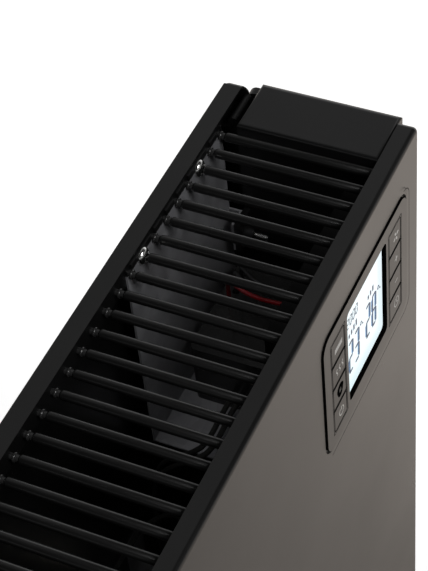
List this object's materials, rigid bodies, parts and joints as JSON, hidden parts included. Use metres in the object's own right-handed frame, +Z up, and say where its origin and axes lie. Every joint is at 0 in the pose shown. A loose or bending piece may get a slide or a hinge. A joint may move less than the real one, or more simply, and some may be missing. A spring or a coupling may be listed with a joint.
{
  "type": "panel convector heater",
  "caption": "Slim black panel convector with a round-bar hot air outlet, turbo blower, raised key and display panel at the right, and two feet.",
  "frame": {"origin": "on the floor, below the middle of the body", "axes": "+X to the right seen from the front, -Y towards the user, +Z up"},
  "size_m": [0.691, 0.2, 0.44],
  "materials": {
    "panel_paint": "satin black powder paint",
    "side_plastic": "satin black moulding",
    "black_screw": "black oxide",
    "zinc_sheet": "zinc-coated sheet",
    "zinc_screw": "bright zinc plate",
    "fascia_plastic": "satin black moulding",
    "key_plastic": "satin black keys with pale marks",
    "display_glass": "back-lit display",
    "display_frame": "white light frame",
    "board_laminate": "green circuit board",
    "switch_plastic": "black switch body",
    "white_plastic": "natural nylon",
    "housing_plastic": "black moulded housing",
    "element_aluminium": "extruded",
    "sheath_steel": "heat tinted tube",
    "ceramic": "glazed ceramic",
    "wheel_metal": "rolled blades",
    "shaft_steel": "ground",
    "bush_rubber": "matte",
    "motor_steel": "stacked laminations",
    "coil_tape": "taped winding",
    "brass_screw": "plain",
    "foot_plastic": "satin black moulding",
    "pad_rubber": "matte",
    "red_sleeve": "silicone sleeve",
    "black_sleeve": "silicone sleeve",
    "mains_sleeve": "black silicone sleeve",
    "glass_sleeve": "black braided glass sleeve",
    "earth_sleeve": "striped sleeve"
  },
  "bodies": {
    "case": {"front_panel": "panel_paint", "rear_panel": "panel_paint", "side_panel_left": "side_plastic", "side_panel_right": "side_plastic", "outlet_bars": "panel_paint", "bar_pins": "panel_paint", "front_bar_rail": "panel_paint", "side_screws": "black_screw", "electronics_shield": "zinc_sheet", "shield_screws": "zinc_screw", "side_wall_screw": "zinc_screw", "control_fascia": "fascia_plastic", "display_panel": "display_glass", "display_light": "display_frame", "control_board": "board_laminate", "key_switches": "switch_plastic", "board_screws": "zinc_screw", "lead_plug": "white_plastic", "tilt_switch": "switch_plastic", "controller_cover": "housing_plastic", "cover_nuts": "zinc_screw", "power_unit": "housing_plastic", "power_unit_lid": "housing_plastic", "heating_element": "element_aluminium", "element_sheath": "sheath_steel", "element_insulators": "ceramic", "element_carriers": "zinc_sheet", "thermal_cutout": "switch_plastic", "blower_housing": "zinc_sheet", "blower_bush": "bush_rubber", "blower_motor": "motor_steel", "motor_coil": "coil_tape", "intake_grille": "panel_paint", "terminal_block": "white_plastic", "earth_screw": "brass_screw", "cord_gland": "housing_plastic", "gland_nut": "housing_plastic", "foot_left": "foot_plastic", "foot_right": "foot_plastic", "foot_pads": "pad_rubber", "foot_screws": "zinc_screw", "red_lead": "red_sleeve", "black_leads": "black_sleeve", "mains_leads": "mains_sleeve", "element_leads": "glass_sleeve", "motor_leads": "glass_sleeve", "earth_lead": "earth_sleeve"},
    "heat_key": {"key_heat": "key_plastic"},
    "mode_key": {"key_mode": "key_plastic"},
    "lock_key": {"key_lock": "key_plastic"},
    "power_key": {"key_power": "key_plastic"},
    "fan_key": {"key_fan": "key_plastic"},
    "plus_key": {"key_plus": "key_plastic"},
    "minus_key": {"key_minus": "key_plastic"},
    "timer_key": {"key_timer": "key_plastic"},
    "blower_rotor": {"blower_wheel": "wheel_metal", "blower_shaft": "shaft_steel"}
  },
  "joints": [
    {"name": "heat_press", "type": "slide", "parent": "case", "child": "heat_key", "axis": [0, 1, 0], "range_m": [0, 0.0006], "stiffness_N_per_m": 900, "springref_m": -0.0004},
    {"name": "mode_press", "type": "slide", "parent": "case", "child": "mode_key", "axis": [0, 1, 0], "range_m": [0, 0.0006], "stiffness_N_per_m": 900, "springref_m": -0.0004},
    {"name": "lock_press", "type": "slide", "parent": "case", "child": "lock_key", "axis": [0, 1, 0], "range_m": [0, 0.0006], "stiffness_N_per_m": 900, "springref_m": -0.0004},
    {"name": "power_press", "type": "slide", "parent": "case", "child": "power_key", "axis": [0, 1, 0], "range_m": [0, 0.0006], "stiffness_N_per_m": 900, "springref_m": -0.0004},
    {"name": "fan_press", "type": "slide", "parent": "case", "child": "fan_key", "axis": [0, 1, 0], "range_m": [0, 0.0006], "stiffness_N_per_m": 900, "springref_m": -0.0004},
    {"name": "plus_press", "type": "slide", "parent": "case", "child": "plus_key", "axis": [0, 1, 0], "range_m": [0, 0.0006], "stiffness_N_per_m": 900, "springref_m": -0.0004},
    {"name": "minus_press", "type": "slide", "parent": "case", "child": "minus_key", "axis": [0, 1, 0], "range_m": [0, 0.0006], "stiffness_N_per_m": 900, "springref_m": -0.0004},
    {"name": "timer_press", "type": "slide", "parent": "case", "child": "timer_key", "axis": [0, 1, 0], "range_m": [0, 0.0006], "stiffness_N_per_m": 900, "springref_m": -0.0004},
    {"name": "blower_spin", "type": "hinge", "parent": "case", "child": "blower_rotor", "pos_m": [-0.02, 0, 0.102], "axis": [1, 0, 0], "continuous": true}
  ]
}
